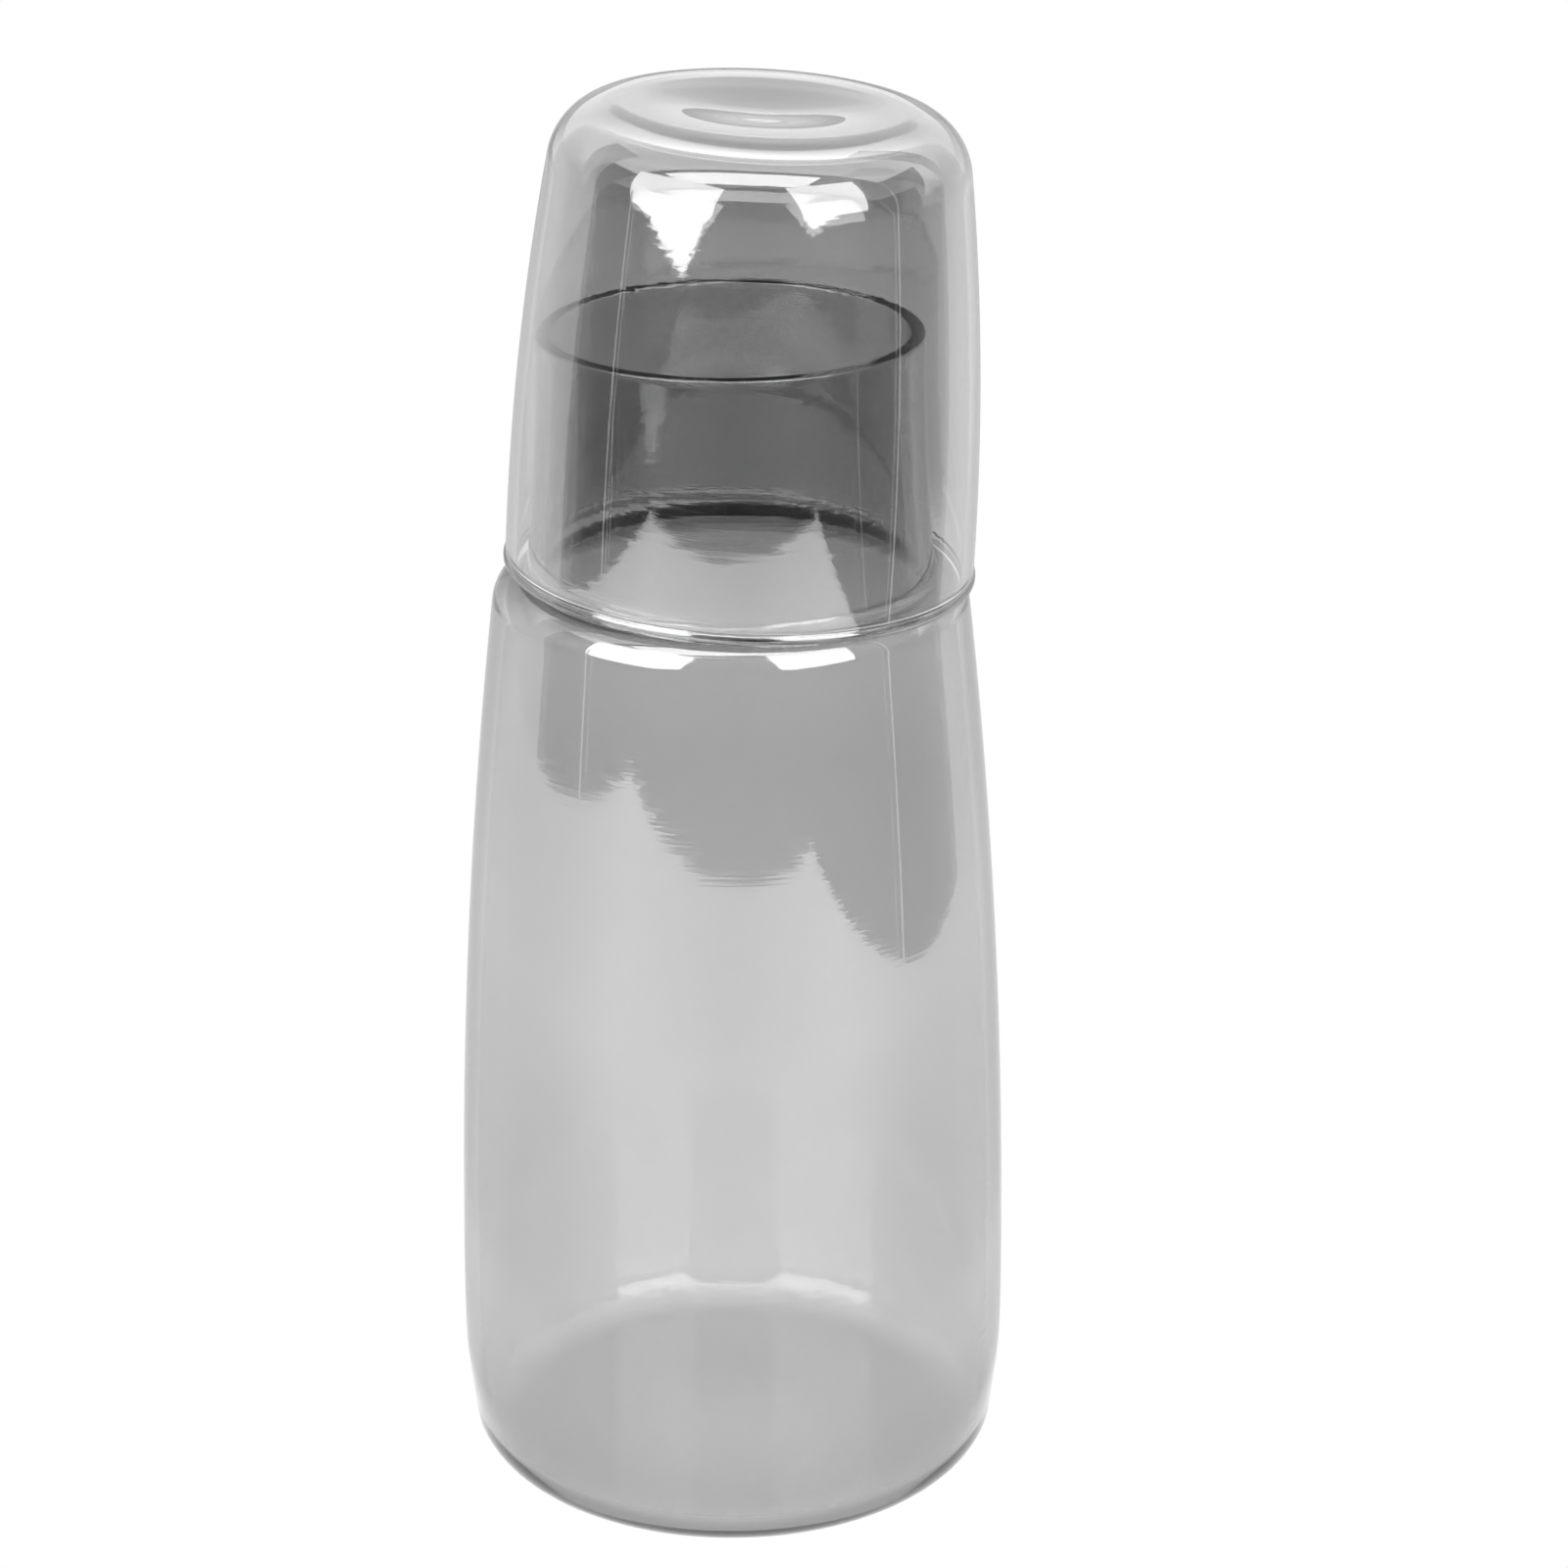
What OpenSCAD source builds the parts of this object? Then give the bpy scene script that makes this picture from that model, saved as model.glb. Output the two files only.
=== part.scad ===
// Bedside carafe with a tumbler turned over its neck. Both pieces are bodies of revolution in
// smoked glass. The carafe stands on z = 0 with its axis on the Z axis. The tumbler's rim rests
// on the carafe's shoulder, and the loose tumbler leans until it almost touches the neck.

/* [Carafe body] */
// Widest diameter of the body
body_d = 90; // [82:1:110]
// Height of the widest point above the base
widest_h = 24; // [18:1:50]
// Height of the shoulder's crest, where the neck begins
shoulder_h = 154.2; // [120:0.2:200]
// Radius of the round between the side and the shoulder
shoulder_r = 6.5; // [5:0.5:9]
// Radius of the round between the side and the base
base_r = 8; // [6:0.5:12]
// How far the side draws in between the widest point and the base round
base_draw = 0.9; // [0.4:0.1:2]
// Thickness of the carafe's wall
carafe_wall = 2.4; // [1.6:0.1:3]
// Thickness of the carafe's floor
floor_t = 3; // [2:0.5:5]
// Radius of the round between the wall and the floor, inside
inner_base_r = 6; // [4:0.5:9]
// Height of the push-up in the middle of the base
push_h = 1; // [0.4:0.1:2]
// Width of the flat ring that the carafe stands on
foot_w = 7; // [4:0.5:12]

/* [Carafe neck] */
// Outer diameter of the neck at the mouth
mouth_d = 60.4; // [50:0.2:66]
// Height of the neck above the shoulder's crest
neck_h = 37.8; // [30:0.2:45]
// How far the neck spreads from the mouth to its root, on each side
neck_spread = 2; // [1:0.1:3]
// How far the shoulder's crest lies outside the mouth, on each side
crest_out = 1; // [0.4:0.1:2]
// Radius of the fillet between the neck and the shoulder
root_r = 1; // [0.8:0.1:2.5]
// Radius of the small rounds along both edges of the flat lip
lip_edge_r = 0.25; // [0.2:0.05:0.6]

/* [Tumbler] */
// Height of the tumbler from its rim to its base
tumbler_h = 74.2; // [66:0.2:95]
// Thickness of the tumbler's wall
tumbler_wall = 1.6; // [1.2:0.1:2.2]
// How far the bead along the rim stands out beyond the side
bead_proud = 0.35; // [0.1:0.05:0.6]
// How far the bead along the rim stands into the mouth
bead_in = 0.25; // [0.1:0.05:0.5]
// How far the side draws in between the bead and the heel
tumbler_draw = 4.4; // [2:0.2:7]
// Radius of the heel, the round between the side and the base
heel_r = 10.6; // [8:0.2:13]
// Radius of the heel inside the tumbler
inner_heel_r = 9; // [6:0.2:11]
// Thickness of the tumbler's base
tumbler_base_t = 3; // [2:0.2:5]
// Width of the flat ring that the tumbler stands on when it is turned upright
ring_w = 2.2; // [1:0.2:4]
// Depth of the dish inside that ring
dish_depth = 1.4; // [0.6:0.1:2]

/* [Rest] */
// Where on the shoulder's round the rim rests, in degrees up from the horizontal
seat_angle = 52; // [46:1:60]
// Gap between the rim and the shoulder
seat_gap = 0.25; // [0.2:0.05:0.6]
// Gap between the neck and the inside of the leaning tumbler
neck_gap = 0.25; // [0.2:0.05:0.6]
// Lean of the tumbler, in degrees
lean = 3; // [1:0.1:3.4]
// Direction of the lean, in degrees from +X towards +Y
lean_dir = -16; // [-90:1:90]

/* [Hidden] */
$fn = 128;
// Steps along a long shallow curve and round a short tight one
long_steps = 24;
short_steps = 12;
// Points of an outline that lie nearer than this are one point
same_point = 0.002;

// The carafe's outline: centres as [radius, height], and the radii of its curves
body_r = body_d / 2;
mouth_r = mouth_d / 2;
crest = [mouth_r + crest_out, shoulder_h - shoulder_r];
corner = [body_r - base_draw - base_r, base_r];
low_bow_r = bow_radius(body_r - corner[0], widest_h - corner[1], base_r);
low_bow = [body_r - low_bow_r, widest_h];
side_bow_r = bow_radius(body_r - crest[0], crest[1] - widest_h, shoulder_r);
side_bow = [body_r - side_bow_r, widest_h];
inner_corner = under_bow(low_bow, low_bow_r - carafe_wall, inner_base_r, floor_t + inner_base_r);
push_r = corner[0] - foot_w;
lip = [mouth_r - lip_edge_r, shoulder_h + neck_h - lip_edge_r];
inner_lip = lip - [carafe_wall - 2 * lip_edge_r, 0];
neck_bow_r = (neck_h * neck_h + neck_spread * neck_spread) / (2 * neck_spread);
neck_bow = [mouth_r + neck_bow_r, lip[1]];
root = meet(crest, shoulder_r + root_r, neck_bow, neck_bow_r - root_r);

// The tumbler's outline, in its own frame: rim down on z = 0, base on top
bead_r = (tumbler_wall + bead_proud + bead_in) / 2;
rest_r = shoulder_r + bead_r + seat_gap;
bead = [crest[0] + rest_r * cos(seat_angle), bead_r];
tumbler_r = bead[0] + bead_r - bead_proud;
heel = [tumbler_r - tumbler_draw - heel_r, tumbler_h - heel_r];
tumbler_bow_r = bow_radius(tumbler_r - heel[0], heel[1] - 2 * bead_r, heel_r);
tumbler_bow = [tumbler_r - tumbler_bow_r, 2 * bead_r];
bore_bow_r = tumbler_bow_r - tumbler_wall;
hollow_h = tumbler_h - tumbler_base_t;
inner_heel = under_bow(tumbler_bow, bore_bow_r, inner_heel_r, hollow_h - inner_heel_r);
dish_r = heel[0] - ring_w;

// How far the leaning tumbler slides over: until only the neck gap is left at the neck's lip, or
// as far as the shoulder carries the rim
slide_share = 0.6;
upright_h = rest_height(bead[0]) - bead_r;
lip_reach = lip[1] - upright_h - bead[0] * sin(lean);
bore_r = bow_at(tumbler_bow, bore_bow_r, lip_reach);
slide = max(0, min(bore_r * cos(lean) - lip_reach * sin(lean) - mouth_r - neck_gap,
                   slide_share * rest_r * (1 - cos(seat_angle))));

// Height of the rim's centre, at which its low side, its high side and its flanks all clear the
// shoulder
low_side_r = bead[0] * cos(lean) + bead_r * sin(lean) + slide;
high_side_r = bead[0] * cos(lean) - bead_r * sin(lean) - slide;
rim_h = max(rest_height(low_side_r) + bead[0] * sin(lean),
            rest_height(bead[0]),
            rest_height(high_side_r) - bead[0] * sin(lean)) - bead_r * cos(lean);

// Radius of a curve that starts upright, draws in by in_w over the height rise and ends tangent
// to a round of radius r, where in_w and rise lead to the round's centre
function bow_radius(in_w, rise, r) = (in_w * in_w + rise * rise - r * r) / (2 * (in_w - r));

// Centre, at height h, of a round of radius r that touches a curve from inside
function under_bow(centre, bow_r, r, h) =
    [centre[0] + sqrt(pow(bow_r - r, 2) - pow(h - centre[1], 2)), h];

// Radius of the outline at height h on a curve
function bow_at(centre, bow_r, h) = centre[0] + sqrt(pow(bow_r, 2) - pow(h - centre[1], 2));

// The crossing of two circles that lies to the left on the way from a to b
function meet(a, ra, b, rb) =
    let (d = norm(b - a),
         u = (b - a) / d,
         s = (d * d + ra * ra - rb * rb) / (2 * d))
    a + s * u + sqrt(ra * ra - s * s) * [-u[1], u[0]];

// Height of the bead's centre when it rests on the shoulder at radius r
function rest_height(r) = crest[1] + sqrt(pow(rest_r, 2) - pow(r - crest[0], 2));

// Direction from one point to another, from 0 to 360
function aim(from, to) = let (a = atan2(to[1] - from[1], to[0] - from[0])) a < 0 ? a + 360 : a;

// Points on an arc from one angle to another
function arc(centre, r, from, to, steps) =
    [for (i = [0:steps]) let (a = from + (to - from) * i / steps) centre + r * [cos(a), sin(a)]];

// A smooth mound, from its middle on the axis out to its edge at radius r and height h. With a
// rise below zero it is a dish.
function mound(r, h, rise) =
    [for (i = [0:short_steps]) let (t = i / short_steps) [r * t, h + rise * (1 + cos(180 * t)) / 2]];

function reversed(list) = [for (i = [len(list) - 1:-1:0]) list[i]];

// An outline without the points that repeat where two curves meet
function joined(list) =
    [for (i = [0:len(list) - 1]) if (i == 0 || norm(list[i] - list[i - 1]) > same_point) list[i]];

// The carafe's side, at a depth into its wall, from the round at the base up to the mouth
function carafe_side(depth, base_round, base_round_r) =
    let (low = aim(low_bow, base_round) - 360,
         high = aim(side_bow, crest),
         turn = aim(neck_bow, root))
    concat(
        arc(base_round, base_round_r, -90, low, short_steps),
        arc(low_bow, low_bow_r - depth, low, 0, short_steps),
        arc(side_bow, side_bow_r - depth, 0, high, long_steps),
        arc(crest, shoulder_r - depth, high, aim(crest, root), short_steps),
        arc(root, root_r + depth, aim(root, crest), turn, short_steps),
        arc(neck_bow, neck_bow_r + depth, turn, 180, long_steps));

// The tumbler's side on one curve, from the bead to the crown of its heel
function tumbler_side(bow_r, heel_round, heel_round_r) =
    let (high = aim(tumbler_bow, heel_round))
    concat(
        arc(tumbler_bow, bow_r, 0, high, long_steps),
        arc(heel_round, heel_round_r, high, 90, short_steps));

module carafe() {
    color([0.5, 0.5, 0.51, 0.6])
        rotate_extrude()
            polygon(joined(concat(
                mound(push_r, 0, push_h),
                carafe_side(0, corner, base_r),
                arc(lip, lip_edge_r, 0, 90, short_steps),
                arc(inner_lip, lip_edge_r, 90, 180, short_steps),
                reversed(carafe_side(carafe_wall, inner_corner, inner_base_r)),
                reversed(mound(push_r, floor_t, push_h)))));
}

module tumbler() {
    from_in = acos((bead_r - bead_proud - tumbler_wall) / bead_r);
    to_out = acos((bead_r - bead_proud) / bead_r) + 360;
    color([0.5, 0.5, 0.51, 0.6])
        rotate([0, 0, lean_dir])
            translate([slide, 0, rim_h])
                rotate([0, lean, 0])
                    rotate_extrude()
                        polygon(joined(concat(
                            arc(bead, bead_r, from_in, to_out, long_steps),
                            tumbler_side(tumbler_bow_r, heel, heel_r),
                            reversed(mound(dish_r, tumbler_h, -dish_depth)),
                            [[0, hollow_h]],
                            reversed(tumbler_side(bore_bow_r, inner_heel, inner_heel_r)))));
}

carafe();
tumbler();
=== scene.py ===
# %% [markdown]
# # A bedside carafe under its tumbler, in smoked glass
#
# Two pieces of glass make the whole object: a carafe, and a drinking tumbler turned upside down
# over its neck. Both are round, so each is one outline carried round an axis. What makes the
# picture is what glass does to light: it darkens what lies behind it by the length of the path
# through it, and it mirrors the room on each of its surfaces. So the lesson has three parts: two
# exact outlines, one material that absorbs by depth, and a small studio for the glass to mirror.

import math

import bpy
import numpy as np
from mathutils import Matrix, Vector


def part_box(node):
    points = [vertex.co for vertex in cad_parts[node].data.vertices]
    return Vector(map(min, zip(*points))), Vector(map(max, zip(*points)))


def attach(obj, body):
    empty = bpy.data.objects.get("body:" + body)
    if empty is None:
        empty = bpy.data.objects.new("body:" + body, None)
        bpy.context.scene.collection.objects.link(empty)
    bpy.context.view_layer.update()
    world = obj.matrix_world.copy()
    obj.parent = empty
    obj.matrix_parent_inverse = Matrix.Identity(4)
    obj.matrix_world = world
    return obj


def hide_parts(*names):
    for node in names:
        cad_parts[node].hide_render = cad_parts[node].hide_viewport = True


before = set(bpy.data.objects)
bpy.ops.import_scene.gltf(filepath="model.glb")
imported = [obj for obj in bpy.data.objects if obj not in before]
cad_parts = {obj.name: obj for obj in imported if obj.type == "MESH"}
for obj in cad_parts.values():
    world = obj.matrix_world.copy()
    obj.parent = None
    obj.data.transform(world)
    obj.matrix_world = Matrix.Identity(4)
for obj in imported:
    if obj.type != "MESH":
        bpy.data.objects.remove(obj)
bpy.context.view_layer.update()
mm = 0.001

# %% [markdown]
# ## Curves that run into each other
#
# Blown and pressed glass has no corners. Its outline is a chain of arcs, each starting in the
# direction in which the last one ends. A bezier drawn by eye would be close, but a mirror shows
# every small wobble in curvature as a kink in the reflection. Arcs from formulas have none. A point
# of an outline is a pair: its distance from the axis, and its height.

# %% Arcs and mounds


def arc(centre, radius, start, end, steps):
    """Points centre + radius * (cos a, sin a), with the angle a going evenly from start to end."""
    angle = np.radians(np.linspace(start, end, steps + 1))
    return np.asarray(centre) + radius * np.column_stack([np.cos(angle), np.sin(angle)])


def mound(radius, height, rise, steps):
    """A smooth mound from the axis out: height + rise * (1 + cos(pi * t)) / 2 at radius * t. With a
    rise below zero it is a dish."""
    share = np.linspace(0, 1, steps + 1)
    return np.column_stack([radius * share, height + rise * (1 + np.cos(np.pi * share)) / 2])


print("a quarter arc of 4 steps:", arc([0, 0], 1, 0, 90, 4).round(2).tolist())

# %% Where arcs meet


def bow_radius(inward, rise, tip):
    """Radius of an arc that starts upright, draws in by inward over rise, and ends against a round
    of radius tip: (inward^2 + rise^2 - tip^2) / (2 * (inward - tip))."""
    return (inward**2 + rise**2 - tip**2) / (2 * (inward - tip))


def under_bow(centre, bow, tip, height):
    """Centre, at that height, of a round of radius tip that touches the arc from inside: the two
    centres lie bow - tip apart."""
    return np.array([centre[0] + math.sqrt((bow - tip) ** 2 - (height - centre[1]) ** 2), height])


def meet(a, radius_a, b, radius_b):
    """Crossing of two circles, the one on the left on the way from a to b: along that way by
    (d^2 + ra^2 - rb^2) / 2d, then square to it by what is left of ra."""
    a, b = np.asarray(a), np.asarray(b)
    gap = np.linalg.norm(b - a)
    way = (b - a) / gap
    along = (gap**2 + radius_a**2 - radius_b**2) / (2 * gap)
    return a + along * way + math.sqrt(radius_a**2 - along**2) * np.array([-way[1], way[0]])


def aim(start, end):
    """Direction from one point to another, in degrees from 0 to 360."""
    return math.degrees(math.atan2(end[1] - start[1], end[0] - start[0])) % 360


print("two unit circles, 1 apart, cross at", meet([0, 0], 1, [1, 0], 1).round(3).tolist())

# %% One outline from many stretches
same_point = 0.002 * mm
tight, loose, slow = 14, 26, 40


def joined(*stretches):
    """One outline from several, without the points that repeat where they meet."""
    line = np.concatenate(stretches)
    apart = np.linalg.norm(np.diff(line, axis=0), axis=1) > same_point
    return line[np.concatenate([[True], apart])]


print("steps along a tight round, a loose one and a long slow curve:", tight, loose, slow)

# %% [markdown]
# ## The carafe
#
# The real carafe is one piece: a floor with a slight push-up, a body that is widest just above the
# base, a soft shoulder, and a nearly straight neck. Its lip is ground flat, with small rounds along
# both edges. The wall is even, so the inside runs at the wall's thickness behind the outside. The
# same centres serve both: only the radii change. Its widest radius and its height are read from
# the frame.

# %% The carafe's sizes
carafe_low, carafe_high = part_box("carafe")
body_radius = (carafe_high.x - carafe_low.x) / 2
carafe_height = carafe_high.z
widest_height = 24 * mm
shoulder_height = 154.2 * mm
shoulder_round = 6.5 * mm
base_round = 8 * mm
base_draw = 0.9 * mm
carafe_wall = 2.4 * mm
floor_thickness = 3 * mm
inner_base_round = 6 * mm
push_up = 1 * mm
standing_ring = 7 * mm
mouth_radius = 30.2 * mm
neck_spread = 2 * mm
crest_out = 1.0 * mm
root_round = 1 * mm
lip_round = 0.25 * mm
print("the carafe is", round(carafe_height / mm, 1), "mm tall, its wall", carafe_wall / mm, "mm")

# %% The centres of the carafe's curves
neck_height = carafe_height - shoulder_height
crest = np.array([mouth_radius + crest_out, shoulder_height - shoulder_round])
corner = np.array([body_radius - base_draw - base_round, base_round])
low_bow = bow_radius(body_radius - corner[0], widest_height - corner[1], base_round)
low_centre = np.array([body_radius - low_bow, widest_height])
side_bow = bow_radius(body_radius - crest[0], crest[1] - widest_height, shoulder_round)
side_centre = np.array([body_radius - side_bow, widest_height])
inner_bow = low_bow - carafe_wall
inner_corner = under_bow(low_centre, inner_bow, inner_base_round, floor_thickness + inner_base_round)
push_radius = corner[0] - standing_ring
lip = np.array([mouth_radius - lip_round, carafe_height - lip_round])
inner_lip = lip - [carafe_wall - 2 * lip_round, 0]
neck_bow = (neck_height**2 + neck_spread**2) / (2 * neck_spread)
neck_centre = np.array([mouth_radius + neck_bow, lip[1]])
root = meet(crest, shoulder_round + root_round, neck_centre, neck_bow - root_round)
print("the side bows with a radius of", round(side_bow, 2), "m, the neck with", round(neck_bow, 2), "m")

# %% The carafe's outline


def carafe_side(depth, foot, foot_round):
    """The side at a depth into the wall, from the base round up to the mouth. Depth shortens the
    radius of a curve that bulges and lengthens that of a curve that hollows."""
    low, high, turn = aim(low_centre, foot) - 360, aim(side_centre, crest), aim(neck_centre, root)
    return joined(
        arc(foot, foot_round, -90, low, tight),
        arc(low_centre, low_bow - depth, low, 0, tight),
        arc(side_centre, side_bow - depth, 0, high, slow),
        arc(crest, shoulder_round - depth, high, aim(crest, root), loose),
        arc(root, root_round + depth, aim(root, crest), turn, tight),
        arc(neck_centre, neck_bow + depth, turn, 180, loose),
    )


carafe_outline = joined(
    mound(push_radius, 0, push_up, tight),
    carafe_side(0, corner, base_round),
    arc(lip, lip_round, 0, 90, tight),
    arc(inner_lip, lip_round, 90, 180, tight),
    carafe_side(carafe_wall, inner_corner, inner_base_round)[::-1],
    mound(push_radius, floor_thickness, push_up, tight)[::-1],
)
widest = carafe_outline[:, 0].max()
print("carafe outline:", len(carafe_outline), "points, widest", (widest / mm).round(2), "mm")

# %% [markdown]
# ## The tumbler
#
# The real tumbler is a thin drinking glass with a small bead along its rim, a rounded heel and a
# shallow dish in its base. It is drawn in its own frame, mouth down, and leaned afterwards, because
# upright it is a plain outline like the carafe's. Its side is one long bow, which draws in towards
# the heel.

# %% The tumbler's sizes
tumbler_height = 74.2 * mm
tumbler_wall = 1.6 * mm
bead_proud = 0.35 * mm
bead_in = 0.25 * mm
tumbler_draw = 4.4 * mm
heel_round = 10.6 * mm
inner_heel_round = 9 * mm
tumbler_base = 3 * mm
ring_width = 2.2 * mm
dish_depth = 1.4 * mm
seat_angle = math.radians(52)
seat_gap = 0.25 * mm
print("the tumbler is", tumbler_height / mm, "mm tall, its wall", tumbler_wall / mm, "mm")

# %% The centres of the tumbler's curves
bead_round = (tumbler_wall + bead_proud + bead_in) / 2
rest_round = shoulder_round + bead_round + seat_gap
bead = np.array([crest[0] + rest_round * math.cos(seat_angle), bead_round])
tumbler_radius = bead[0] + bead_round - bead_proud
heel = np.array([tumbler_radius - tumbler_draw - heel_round, tumbler_height - heel_round])
outer_bow = bow_radius(tumbler_radius - heel[0], heel[1] - 2 * bead_round, heel_round)
bow_centre = np.array([tumbler_radius - outer_bow, 2 * bead_round])
bore_bow = outer_bow - tumbler_wall
hollow_height = tumbler_height - tumbler_base
inner_heel = under_bow(bow_centre, bore_bow, inner_heel_round, hollow_height - inner_heel_round)
dish_radius = heel[0] - ring_width
print("the bead is", round(2 * bead_round / mm, 2), "mm thick, its centre", round(bead[0] / mm, 2), "mm out")

# %% The tumbler's outline


def tumbler_side(bow, round_centre, round_radius):
    """The side from the bead up to the crown of the heel, outside or inside: one arc on the bow's
    centre, then one on the heel's."""
    high = aim(bow_centre, round_centre)
    return joined(arc(bow_centre, bow, 0, high, slow), arc(round_centre, round_radius, high, 90, loose))


bead_start = math.degrees(math.acos((bead_round - bead_proud - tumbler_wall) / bead_round))
bead_end = math.degrees(math.acos((bead_round - bead_proud) / bead_round)) + 360
tumbler_outline = joined(
    np.array([[0, hollow_height]]),
    tumbler_side(bore_bow, inner_heel, inner_heel_round)[::-1],
    arc(bead, bead_round, bead_start, bead_end, slow),
    tumbler_side(outer_bow, heel, heel_round),
    mound(dish_radius, tumbler_height, -dish_depth, tight)[::-1],
)
widest = tumbler_outline[:, 0].max()
print("tumbler outline:", len(tumbler_outline), "points, widest", (widest / mm).round(2), "mm")

# %% [markdown]
# ## The tumbler's seat
#
# The loose tumbler slides over until it meets the neck's lip, and one side of its rim drops on the
# round shoulder, so it stands a little crooked. It could be pushed about until it looks right, but
# then it would float or sink by a hair, and clear glass shows both. The same sums as in the solid
# model give its seat: a bead that rests on a round has its centre on a circle round that round.

# %% Where the tumbler comes to rest
neck_gap = 0.25 * mm
lean = math.radians(3)
lean_direction = math.radians(-16)
slide_share = 0.6


def rest_height(radius):
    """Height of the bead's centre when it rests on the shoulder at that radius: the crest's height
    + sqrt(rest_round^2 - (radius - crest)^2)."""
    return crest[1] + math.sqrt(rest_round**2 - (radius - crest[0]) ** 2)


lip_reach = lip[1] - (rest_height(bead[0]) - bead_round) - bead[0] * math.sin(lean)
bore_there = bow_centre[0] + math.sqrt(bore_bow**2 - (lip_reach - bow_centre[1]) ** 2)
free_slide = bore_there * math.cos(lean) - lip_reach * math.sin(lean) - mouth_radius - neck_gap
slide = max(0, min(free_slide, slide_share * rest_round * (1 - math.cos(seat_angle))))
drop = bead[0] * math.sin(lean)
low_side = rest_height(bead[0] * math.cos(lean) + bead_round * math.sin(lean) + slide) + drop
high_side = rest_height(bead[0] * math.cos(lean) - bead_round * math.sin(lean) - slide) - drop
rim_height = max(low_side, rest_height(bead[0]), high_side) - bead_round * math.cos(lean)
seat = (
    Matrix.Rotation(lean_direction, 4, "Z")
    @ Matrix.Translation((slide, 0, rim_height))
    @ Matrix.Rotation(lean, 4, "Y")
)
print("it slides over by", round(slide / mm, 2), "mm; its rim is at", round(rim_height / mm, 2), "mm")

# %% [markdown]
# ## From outline to surface
#
# A lathe carries the outline round the axis. With numpy the whole surface is one sum: an array of
# outline points times an array of angles. The two end points lie on the axis and become poles, so
# the surface is closed and glass has a true inside. It matters here, because the shader measures
# how far light travels between one face and the next.

# %% The lathe
turns = 192


def turned_points(outline):
    """Points x = r * cos a, y = r * sin a, z = h, for each outline point (r, h) between the two ends
    and each angle a, and then the two poles."""
    angle = np.linspace(0, 2 * np.pi, turns, endpoint=False)
    ring = outline[1:-1]
    grid = np.stack(
        [
            np.outer(ring[:, 0], np.cos(angle)),
            np.outer(ring[:, 0], np.sin(angle)),
            np.repeat(ring[:, 1:], turns, axis=1),
        ],
        axis=-1,
    ).reshape(-1, 3)
    poles = np.array([[0, 0, outline[0, 1]], [0, 0, outline[-1, 1]]])
    return np.concatenate([grid, poles])


def turned_faces(rings):
    """Quads between neighbours on the grid, and a fan round each pole. They run round first and along
    the outline second, so they point out of the glass."""
    here = np.arange(rings * turns).reshape(rings, turns)
    beside = np.roll(here, -1, axis=1)
    quads = np.stack([here[:-1], beside[:-1], beside[1:], here[1:]], axis=-1).reshape(-1, 4)
    first_pole = np.full(turns, rings * turns)
    near_fan = np.column_stack([first_pole, beside[0], here[0]])
    far_fan = np.column_stack([here[-1], beside[-1], first_pole + 1])
    return quads.tolist() + near_fan.tolist() + far_fan.tolist()


def turned(name, outline, place=None):
    """The outline turned round the axis, as one mesh. A place moves its points, not the object."""
    points = turned_points(outline)
    if place is not None:
        turn = np.array(place)
        points = points @ turn[:3, :3].T + turn[:3, 3]
    mesh = bpy.data.meshes.new(name)
    mesh.from_pydata(points, [], turned_faces(len(outline) - 2))
    mesh.shade_smooth()
    piece = bpy.data.objects.new(name, mesh)
    bpy.context.scene.collection.objects.link(piece)
    around = 2 * np.pi * outline[1:-1, 0].mean()
    print(name, "has", len(mesh.polygons), "faces, each about", round(around / turns / mm, 2), "mm wide")
    return piece


carafe_glass = turned("carafe_glass", carafe_outline)
tumbler_glass = turned("tumbler_glass", tumbler_outline, seat)

# %% [markdown]
# ## Smoked glass
#
# A tint painted on the surface would darken every wall alike. Real smoked glass is grey all through:
# light falls off along its path, so a wall seen flat is pale, and a lip seen along its length is
# almost black. The Volume Absorption shader does just that. Its loss for each metre is (1 - colour) x
# density. The surface itself is clear and smooth. Small irregularities keep it from looking
# computed: fine draw lines round the piece, which roughen the edges of reflections, a slow
# unevenness of the wall, and a breath of haze.

# %% The glass in numbers
wall_loss = 205.0
smoke = 0.5
glass_index = 1.5
white = (1, 1, 1, 1)
unevenness = 0.02 * mm
draw_line_size = (120 * mm, 120 * mm, 0.9 * mm)
slow_waves_per_metre, breaths_per_metre = 28, 60
draw_line_detail, slow_wave_detail, breath_detail = 2, 0, 4
clear_below, haziest_at, most_haze = 0.45, 0.8, 0.01
kept = math.exp(-wall_loss * carafe_wall)
print("the carafe's wall keeps", round(kept, 3), "of the light that goes straight through it")

# %% Draw lines, slow waves and haze


def add(nodes, kind, **values):
    """A new node of that kind, with its plain settings given by name."""
    node = nodes.new("ShaderNode" + kind)
    for name, value in values.items():
        setattr(node, name, value)
    return node


def noise(nodes, links, place, scale, detail):
    """Socket of a noise pattern that runs over the place."""
    pattern = add(nodes, "TexNoise")
    pattern.inputs["Scale"].default_value = scale
    pattern.inputs["Detail"].default_value = detail
    links.new(place, pattern.inputs["Vector"])
    return pattern.outputs["Fac"]


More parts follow.
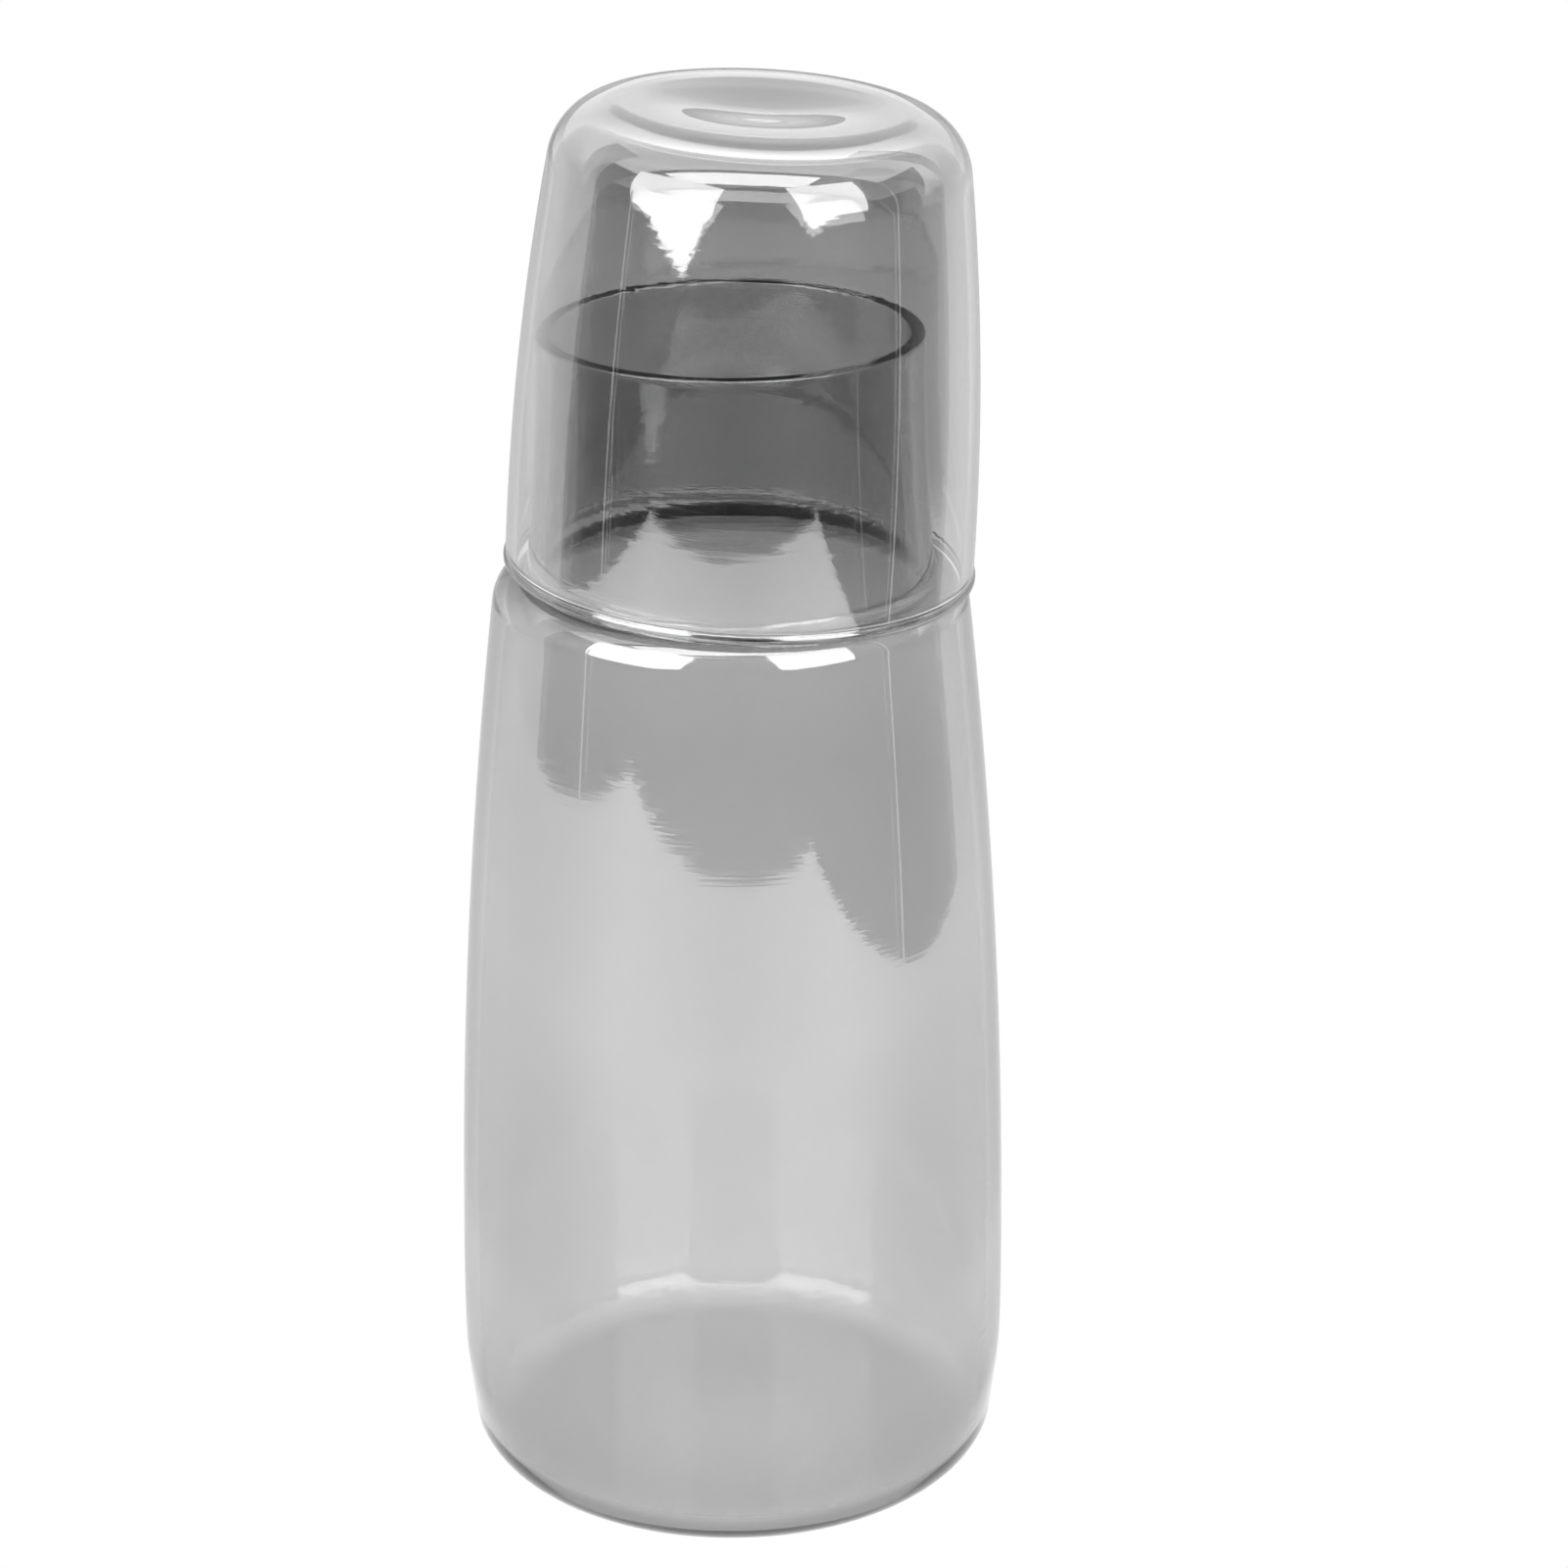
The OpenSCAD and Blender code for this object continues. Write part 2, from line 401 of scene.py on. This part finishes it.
def uneven_normal(nodes, links, place, axis_turn, line_share):
    """Normal of a surface of height unevenness * (line_share * draw lines + slow waves). The draw
    lines are noise of scale 1 in a space that is squeezed along the piece's own axis."""
    along_axis = add(nodes, "Mapping", vector_type="TEXTURE")
    along_axis.inputs["Rotation"].default_value = axis_turn
    along_axis.inputs["Scale"].default_value = draw_line_size
    relief = add(nodes, "Math", operation="MULTIPLY_ADD")
    relief.inputs[1].default_value = line_share
    bump = add(nodes, "Bump")
    bump.inputs["Strength"].default_value = 1
    bump.inputs["Distance"].default_value = unevenness
    links.new(place, along_axis.inputs["Vector"])
    lines = noise(nodes, links, along_axis.outputs["Vector"], 1, draw_line_detail)
    links.new(lines, relief.inputs[0])
    waves = noise(nodes, links, place, slow_waves_per_metre, slow_wave_detail)
    links.new(waves, relief.inputs[2])
    links.new(relief.outputs["Value"], bump.inputs["Height"])
    return bump.outputs["Normal"]


def breath_of_haze(nodes, links, place):
    """Roughness that is 0 on most of the glass and rises to most_haze in soft patches."""
    haze = add(nodes, "MapRange")
    haze.inputs["From Min"].default_value = clear_below
    haze.inputs["From Max"].default_value = haziest_at
    haze.inputs["To Min"].default_value = 0
    haze.inputs["To Max"].default_value = most_haze
    links.new(noise(nodes, links, place, breaths_per_metre, breath_detail), haze.inputs["Value"])
    return haze.outputs["Result"]


print("draw lines are about", draw_line_size[2] / mm, "mm apart")
print("slow waves are about", round(1 / slow_waves_per_metre / mm), "mm apart")

# %% The glass
carafe_lines, tumbler_lines = 0.36, 0.3


def smoked_glass(name, axis_turn, line_share):
    """Clear surface with a volume that keeps exp(-wall_loss * path) of the light."""
    material = bpy.data.materials.new(name)
    material.use_nodes = True
    nodes, links = material.node_tree.nodes, material.node_tree.links
    place = add(nodes, "TexCoord").outputs["Object"]
    surface = nodes["Principled BSDF"]
    surface.inputs["Base Color"].default_value = white
    surface.inputs["Transmission Weight"].default_value = 1
    surface.inputs["IOR"].default_value = glass_index
    links.new(uneven_normal(nodes, links, place, axis_turn, line_share), surface.inputs["Normal"])
    links.new(breath_of_haze(nodes, links, place), surface.inputs["Roughness"])
    inside = add(nodes, "VolumeAbsorption")
    inside.inputs["Color"].default_value = (smoke, smoke, smoke, 1)
    inside.inputs["Density"].default_value = wall_loss / (1 - smoke)
    links.new(inside.outputs["Volume"], nodes["Material Output"].inputs["Volume"])
    return material


carafe_glass.data.materials.append(smoked_glass("carafe_smoke", (0, 0, 0), carafe_lines))
tumbler_glass.data.materials.append(smoked_glass("tumbler_smoke", seat.to_euler(), tumbler_lines))
print("materials:", [piece.data.materials[0].name for piece in (carafe_glass, tumbler_glass)])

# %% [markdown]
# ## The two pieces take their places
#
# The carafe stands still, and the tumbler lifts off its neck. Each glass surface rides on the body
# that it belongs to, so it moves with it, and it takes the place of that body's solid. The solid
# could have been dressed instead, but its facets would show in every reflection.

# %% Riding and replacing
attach(carafe_glass, "carafe")
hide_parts("carafe")
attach(tumbler_glass, "tumbler")
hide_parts("tumbler")
print("both solids are stood for by their glass")

# %% [markdown]
# ## A studio for the glass to mirror
#
# Clear glass on white looks like nothing until there is something to mirror. The studio is a white
# table in a dark room, with a softbox on each side of the camera, a thin slit of light further out
# on each side, a white board along each end of the table, and a lamp, a pale roof and a sloping card
# overhead. Where the curved wall mirrors the room past the table's edge, it stays dark, and where it
# mirrors the table, it has a pale veil: that is the scalloped edge on the body.
#
# The Light Path node sorts the rays. The camera itself sees plain white. Rays that have been mirrored
# at least once see the studio. Rays that only pass through the glass see white paper close by and a
# dimmer ground further off.
#
# The strengths of the room, the table, the ground and the sheets were found by rendering each light
# by itself and fitting the sum to the photograph's brightness. They were then rounded, and some were
# changed afterwards.

# %% Sorting the rays
camera_white = 1.0
less_than_one_mirror = 0.5


def is_mirrored(nodes, links):
    """Socket that is 1 for rays that have been reflected at least once."""
    path = add(nodes, "LightPath")
    flag = add(nodes, "Math", operation="GREATER_THAN")
    flag.inputs[1].default_value = less_than_one_mirror
    links.new(path.outputs["Glossy Depth"], flag.inputs[0])
    return flag.outputs["Value"]


def is_from_camera(nodes):
    """Socket that is 1 for rays that come straight from the camera."""
    return add(nodes, "LightPath").outputs["Is Camera Ray"]


print("the camera sees a white of", camera_white)

# %% Strength along a ramp and by bearing
half_turn = 180


def strength_along(nodes, links, share, stops):
    """Strength at a share from 0 to 1, straight between stops of (share, strength). A ramp holds 0 to
    1, so the strengths go in divided by their greatest and come out multiplied by it."""
    top = max(strength for stop, strength in stops)
    ramp = add(nodes, "ValToRGB")
    marks = ramp.color_ramp.elements
    while len(marks) < len(stops):
        marks.new(1)
    for mark, (stop, strength) in zip(marks, stops):
        mark.position = stop
        mark.color = (strength / top, strength / top, strength / top, 1)
    full = add(nodes, "Math", operation="MULTIPLY")
    full.inputs[1].default_value = top
    links.new(share, ramp.inputs["Fac"])
    links.new(ramp.outputs["Color"], full.inputs[0])
    return full.outputs["Value"]


def strength_by_bearing(nodes, links, place, stops):
    """Strength by the bearing round the carafe, |atan2(x, -y)|, in degrees from 0 on the camera's side
    to 180 behind. The ramp runs over that angle's share of the half turn."""
    split = add(nodes, "SeparateXYZ")
    ahead = add(nodes, "Math", operation="MULTIPLY")
    ahead.inputs[1].default_value = -1
    angle = add(nodes, "Math", operation="ARCTAN2")
    either_side = add(nodes, "Math", operation="ABSOLUTE")
    share = add(nodes, "Math", operation="DIVIDE")
    share.inputs[1].default_value = math.pi
    links.new(place, split.inputs["Vector"])
    links.new(split.outputs["Y"], ahead.inputs[0])
    links.new(split.outputs["X"], angle.inputs[0])
    links.new(ahead.outputs["Value"], angle.inputs[1])
    links.new(angle.outputs["Value"], either_side.inputs[0])
    links.new(either_side.outputs["Value"], share.inputs[0])
    shares = [(bearing / half_turn, strength) for bearing, strength in stops]
    return strength_along(nodes, links, share.outputs["Value"], shares)


def feed(links, strength, socket):
    """Gives a socket its strength: a plain number is set on it, and another socket is linked."""
    if isinstance(strength, (int, float)):
        socket.default_value = strength
    else:
        links.new(strength, socket)


def blend(nodes, links, factor, first, second):
    """Socket that is the first strength at factor 0 and the second at 1."""
    mix = add(nodes, "Mix")
    links.new(factor, mix.inputs["Factor"])
    feed(links, first, mix.inputs["A"])
    feed(links, second, mix.inputs["B"])
    return mix.outputs["Result"]


print("a ramp takes bearings as shares of the half turn: 45 degrees is", 45 / half_turn)

# %% The room
far_ground = 0.45
low_room = ((0, 0.1), (50, 0.2), (85, 0.3), (120, 1.4), (155, 0.6), (180, 0.78))
high_room = ((0, 0.14), (50, 0.2), (85, 0.5), (120, 0.6), (155, 0.45), (180, 0.13))
low_room_top, high_room_foot = math.radians(9.8), math.radians(12.1)


def room():
    """The world: white to the camera, dim to rays through the glass, and to mirrored rays dark in
    front and paler at the sides. A low and a high room meet between two elevations, and a direction's
    Z is the sine of its elevation."""
    world = bpy.data.worlds.new("room")
    bpy.context.scene.world = world
    world.use_nodes = True
    world.cycles.sampling_method = "NONE"
    nodes, links = world.node_tree.nodes, world.node_tree.links
    direction = add(nodes, "TexCoord").outputs["Generated"]
    split = add(nodes, "SeparateXYZ")
    rise = add(nodes, "MapRange")
    rise.inputs["From Min"].default_value = math.sin(low_room_top)
    rise.inputs["From Max"].default_value = math.sin(high_room_foot)
    links.new(direction, split.inputs["Vector"])
    links.new(split.outputs["Z"], rise.inputs["Value"])
    low = strength_by_bearing(nodes, links, direction, low_room)
    high = strength_by_bearing(nodes, links, direction, high_room)
    around = blend(nodes, links, rise.outputs["Result"], low, high)
    behind = blend(nodes, links, is_mirrored(nodes, links), far_ground, around)
    seen = blend(nodes, links, is_from_camera(nodes), behind, camera_white)
    links.new(seen, nodes["Background"].inputs["Strength"])
    nodes["Background"].inputs["Color"].default_value = white


room()
print("to mirrored rays the low room has strengths of", [strength for bearing, strength in low_room])

# %% [markdown]
# ## Sheets that glow
#
# Everything else in the studio is a flat sheet that glows by itself. Lamps that light real boards
# would need many samples to come through glass without grain. A sheet that glows has the brightness
# that the board would have, and no grain at all. Most sheets are there for mirrored rays alone.

# %% A sheet and who sees it


def flat_panel(name, corners, faces):
    """A sheet for the studio, with an empty material. It returns the sheet, its nodes and its links."""
    mesh = bpy.data.meshes.new(name)
    mesh.from_pydata([tuple(corner) for corner in corners], [], faces)
    sheet = bpy.data.objects.new(name, mesh)
    bpy.context.scene.collection.objects.link(sheet)
    material = bpy.data.materials.new(name)
    material.use_nodes = True
    material.cycles.emission_sampling = "NONE"
    material.node_tree.nodes.remove(material.node_tree.nodes["Principled BSDF"])
    mesh.materials.append(material)
    return sheet, material.node_tree.nodes, material.node_tree.links


def glow(nodes, links, strength):
    """White glow of that strength, which is a number or a socket."""
    light = add(nodes, "Emission")
    feed(links, strength, light.inputs["Strength"])
    return light.outputs["Emission"]


def either(nodes, links, flag, shader_at_0, shader_at_1):
    """The first shader where the flag is 0, and the second where it is 1."""
    mix = add(nodes, "MixShader")
    links.new(flag, mix.inputs["Fac"])
    links.new(shader_at_0, mix.inputs[1])
    links.new(shader_at_1, mix.inputs[2])
    return mix.outputs["Shader"]


def only_mirrored(panel, nodes, links, strength):
    """Glows at that strength for mirrored rays, and lets every other ray pass."""
    panel.visible_camera = False
    clear = add(nodes, "BsdfTransparent").outputs["BSDF"]
    shown = either(nodes, links, is_mirrored(nodes, links), clear, glow(nodes, links, strength))
    links.new(shown, nodes["Material Output"].inputs["Surface"])


print("a sheet for mirrors is clear to every ray that no glass has mirrored")

# %% [markdown]
# ## The table
#
# Two sheets stand for the table. Rays through the glass see the ground, a white paper that grows dim
# with distance. Mirrored rays see the table: bright in front, where the softboxes stand, and dim
# behind the carafe, which keeps the glass's edges from glaring. Its brightness follows the bearing
# round the carafe, on one ramp near the foot and on another far from it, with a soft shade round the
# foot. A strip along the front droops to the table's edge, and it is this edge that draws the
# scallops on the body.

# %% The table in mirrors
table_left, table_right, table_back = -0.565, 0.338, 1.3
table_top, table_droop = -0.3 * mm, 28 * mm
bend_place = -0.2
table_bend = (table_left, -0.3, 0, 0.2, table_right)
table_front = ((-0.65, -0.645), (-0.34, -0.675), (0, -0.68), (0.24, -0.642), (0.41, -0.6))
far_table = (
    (0, 3.2), (45, 4.4), (75, 3.2), (95, 2.75), (110, 2.35), (125, 1.9),
    (140, 1.25), (152, 1.0), (162, 0.9), (171, 0.57), (176, 0.41), (180, 0.35),
)
near_table = ((0, 1.8), (60, 1.6), (105, 1.8), (135, 1.05), (160, 0.85), (180, 0.6))
near_end, far_start = 0.12, 0.30
foot_shade = ((0, 0.95), (0.047, 0.95), (0.058, 0.66), (0.078, 0.82), (0.1, 1))


def table_strength(nodes, links):
    """Strength at a place: near and far ramps by bearing, blended by distance, times the shade round
    the foot, which is a ramp over the distance in metres."""
    place = add(nodes, "TexCoord").outputs["Object"]
    distance = add(nodes, "VectorMath", operation="LENGTH")
    far_share = add(nodes, "MapRange")
    far_share.inputs["From Min"].default_value = near_end
    far_share.inputs["From Max"].default_value = far_start
    shaded = add(nodes, "Math", operation="MULTIPLY")
    links.new(place, distance.inputs[0])
    links.new(distance.outputs["Value"], far_share.inputs["Value"])
    near = strength_by_bearing(nodes, links, place, near_table)
    far = strength_by_bearing(nodes, links, place, far_table)
    shade = strength_along(nodes, links, distance.outputs["Value"], foot_shade)
    links.new(blend(nodes, links, far_share.outputs["Result"], near, far), shaded.inputs[0])
    links.new(shade, shaded.inputs[1])
    return shaded.outputs["Value"]


def lay_table():
    """A level part behind the bend, and a strip of quads that droops from the bend to the edge."""
    edge = [(x, y, table_top - table_droop) for x, y in table_front]
    bend = [(x, bend_place, table_top) for x in table_bend]
    back = [(table_right, table_back, table_top), (table_left, table_back, table_top)]
    count = len(edge)
    strip = [(i, i + 1, count + i + 1, count + i) for i in range(count - 1)]
    level = tuple(range(count, 2 * count + len(back)))
    table, nodes, links = flat_panel("table", edge + bend + back, strip + [level])
    only_mirrored(table, nodes, links, table_strength(nodes, links))


lay_table()
print("the table is", round(table_right - table_left, 2), "m wide")
print("its front edge is", -table_front[2][1], "m in front of the carafe")

# %% The ground seen through the glass
ground_by_distance = (
    (0, 1.8), (0.12, 1.26), (0.22, 1.16), (0.32, 1.06), (0.42, 1.15), (0.55, 0.5), (0.7, 0.52), (1.0, 0.35),
)
ground_drop, ground_reach = 0.2 * mm, 3.0


def lay_ground():
    """White to the camera, dimmer with distance to rays through the glass, and clear to mirrored rays,
    which see the table and the dark room instead. The ramp runs over the distance in metres, and
    keeps its last strength beyond 1 m."""
    level = table_top - ground_drop
    corners = [(x * ground_reach, y * ground_reach, level) for x, y in ((-1, -1), (1, -1), (1, 1), (-1, 1))]
    ground, nodes, links = flat_panel("ground", corners, [(0, 1, 2, 3)])
    distance = add(nodes, "VectorMath", operation="LENGTH")
    links.new(add(nodes, "TexCoord").outputs["Object"], distance.inputs[0])
    through = glow(nodes, links, strength_along(nodes, links, distance.outputs["Value"], ground_by_distance))
    clear = add(nodes, "BsdfTransparent").outputs["BSDF"]
    behind = either(nodes, links, is_mirrored(nodes, links), through, clear)
    to_camera = glow(nodes, links, camera_white)
    seen = either(nodes, links, is_from_camera(nodes), behind, to_camera)
    links.new(seen, nodes["Material Output"].inputs["Surface"])
    return ground


print(lay_ground().name, "reaches", ground_reach, "m each way")

# %% [markdown]
# ## Boards, lamp, roof and card
#
# A board that a lamp lights from one end is bright there and fades to the other. So each of these
# sheets has a few strengths, spread evenly from its first edge to the opposite one over its own UV
# map. The card slopes down from the roof behind the carafe, and the tumbler's flat top mirrors it.

# %% Sheets with a fade
board_height = 0.9
left_board_front, right_board_front = 0.05, 0.13
roof_height, roof_side = 1.0, 1.2
roof_front, roof_back = -0.30, 0.42
lamp_left, lamp_right = -0.72, 0.45
lamp_front, lamp_back = -0.77, -0.38
lamp_light = 16
card_place, card_foot = 0.15, 0.252


def fading_sheet(name, corners, *strengths):
    """A sheet that only mirrored rays see, with its strengths spread evenly from its first edge to
    the opposite one."""
    panel, nodes, links = flat_panel(name, corners, [(0, 1, 2, 3)])
    across = panel.data.uv_layers.new(name="across")
    across.data.foreach_set("uv", [0, 0, 1, 0, 1, 1, 0, 1])
    split = add(nodes, "SeparateXYZ")
    links.new(add(nodes, "UVMap").outputs["UV"], split.inputs["Vector"])
    stops = list(zip(np.linspace(0, 1, len(strengths)), strengths))
    only_mirrored(panel, nodes, links, strength_along(nodes, links, split.outputs["Y"], stops))


def end_board(name, x, front, *strengths):
    """A board that stands along one end of the table, with its strengths from front to back."""
    top_front, low_front = (x, front, board_height), (x, front, 0)
    low_back, top_back = (x, table_back, 0), (x, table_back, board_height)
    fading_sheet(name, (top_front, low_front, low_back, top_back), *strengths)


def overhead(name, left, right, front, back, *strengths):
    """A level sheet at the roof's height, with its strengths from front to back."""
    corners = [(left, front), (right, front), (right, back), (left, back)]
    fading_sheet(name, [(x, y, roof_height) for x, y in corners], *strengths)


end_board("left_board", table_left, left_board_front, 2.15, 2.05, 1.4, 0.95, 0.8)
end_board("right_board", table_right, right_board_front, 2.15, 1.3, 1.0, 0.9, 0.8)
overhead("lamp", lamp_left, lamp_right, lamp_front, lamp_back, lamp_light, lamp_light)
overhead("roof", -roof_side, roof_side, roof_front, roof_back, 6.0, 4.6, 4.8)
card_top_edge = [(-roof_side, roof_back, roof_height), (roof_side, roof_back, roof_height)]
card_low_edge = [(roof_side, card_place, card_foot), (-roof_side, card_place, card_foot)]
fading_sheet("card", card_top_edge + card_low_edge, 4.9, 4.7, 4.5, 4.0, 1.7)
print("the card comes down to", round(card_foot / mm), "mm, just above the tumbler's top")

# %% [markdown]
# ## Softboxes and slits
#
# Two softboxes stand in front, one on each side of the camera. Their lower edges come to a point, so
# their images on the tumbler and on the shoulder are slanted patches and not plain squares. Further
# out, a slit of light on each side stands past the table's edge. It is as thin as a gap between two
# curtains, and draws the fine upright line down each side of the glass.

# %% Standing lights
light_distance = 1.0
softbox_light, softbox_foot, softbox_tilt = 14, 0.19, 16
slit_width, slit_reach, slit_light = 16 * mm, 0.9, 3.5


def standing_light(name, strength, bearing, width, foot, height, tilt=0, skirt=0, tip=0):
    """An upright light at that bearing from the camera's side, in degrees, its top tipped towards the
    carafe by tilt. Over its skirt it narrows down to a point at the tip, from -1 to 1 across."""
    turn, tipped = math.radians(bearing), math.radians(tilt)
    side = np.array([math.cos(turn), math.sin(turn), 0])
    away = np.array([math.sin(turn), -math.cos(turn), 0])
    rise = np.array([0, 0, math.cos(tipped)]) - away * math.sin(tipped)
    middle = away * light_distance + np.array([0, 0, foot])
    half = side * width / 2
    low, high = middle + rise * skirt, middle + rise * height
    point = [middle + half * tip] if skirt else []
    corners = [low - half] + point + [low + half, high + half, high - half]
    panel, nodes, links = flat_panel(name, corners, [tuple(range(len(corners)))])
    only_mirrored(panel, nodes, links, strength)


standing_light(
    "left_softbox", softbox_light, bearing=-47, width=0.86, foot=softbox_foot, height=0.74,
    tilt=softbox_tilt, skirt=0.08, tip=0.42,
)
standing_light(
    "right_softbox", softbox_light, bearing=40.5, width=0.64, foot=softbox_foot, height=0.80,
    tilt=softbox_tilt, skirt=0.045, tip=-0.72,
)
for name, bearing in (("left_slit", -70), ("right_slit", 77)):
    standing_light(name, slit_light, bearing, slit_width, -slit_reach, 2 * slit_reach)

# %% [markdown]
# ## The camera
#
# The camera's place comes from the outlines of both pieces in the photograph: for bodies of
# revolution, the shape of the lip's and the base's ellipses gives the height and the tilt, and the
# way the sides draw together gives the distance.

# %% The camera
camera_place = Vector((0, -0.6263, 0.3616))
pitch, yaw, roll = math.radians(21.376), math.radians(0.769), math.radians(0.106)
sensor_width = 36.0
focal_length = 96.1


def look(place, pitch, yaw, roll):
    """Matrix of a camera that looks down by pitch, to the right by yaw, and is rolled by roll."""
    ahead = Vector((math.sin(yaw) * math.cos(pitch), math.cos(yaw) * math.cos(pitch), -math.sin(pitch)))
    level = Vector((math.cos(yaw), -math.sin(yaw), 0))
    rise = level.cross(ahead)
    right = level * math.cos(roll) + rise * math.sin(roll)
    above = rise * math.cos(roll) - level * math.sin(roll)
    turn = Matrix((right, above, -ahead)).transposed().to_4x4()
    return Matrix.Translation(place) @ turn


camera_data = bpy.data.cameras.new("camera")
camera_data.sensor_width = sensor_width
camera_data.lens = focal_length
camera = bpy.data.objects.new("camera", camera_data)
bpy.context.scene.collection.objects.link(camera)
camera.matrix_world = look(camera_place, pitch, yaw, roll)
bpy.context.scene.camera = camera
bpy.context.scene.view_settings.view_transform = "Standard"
print("camera is", round(camera_place.length, 3), "m from the carafe's foot")
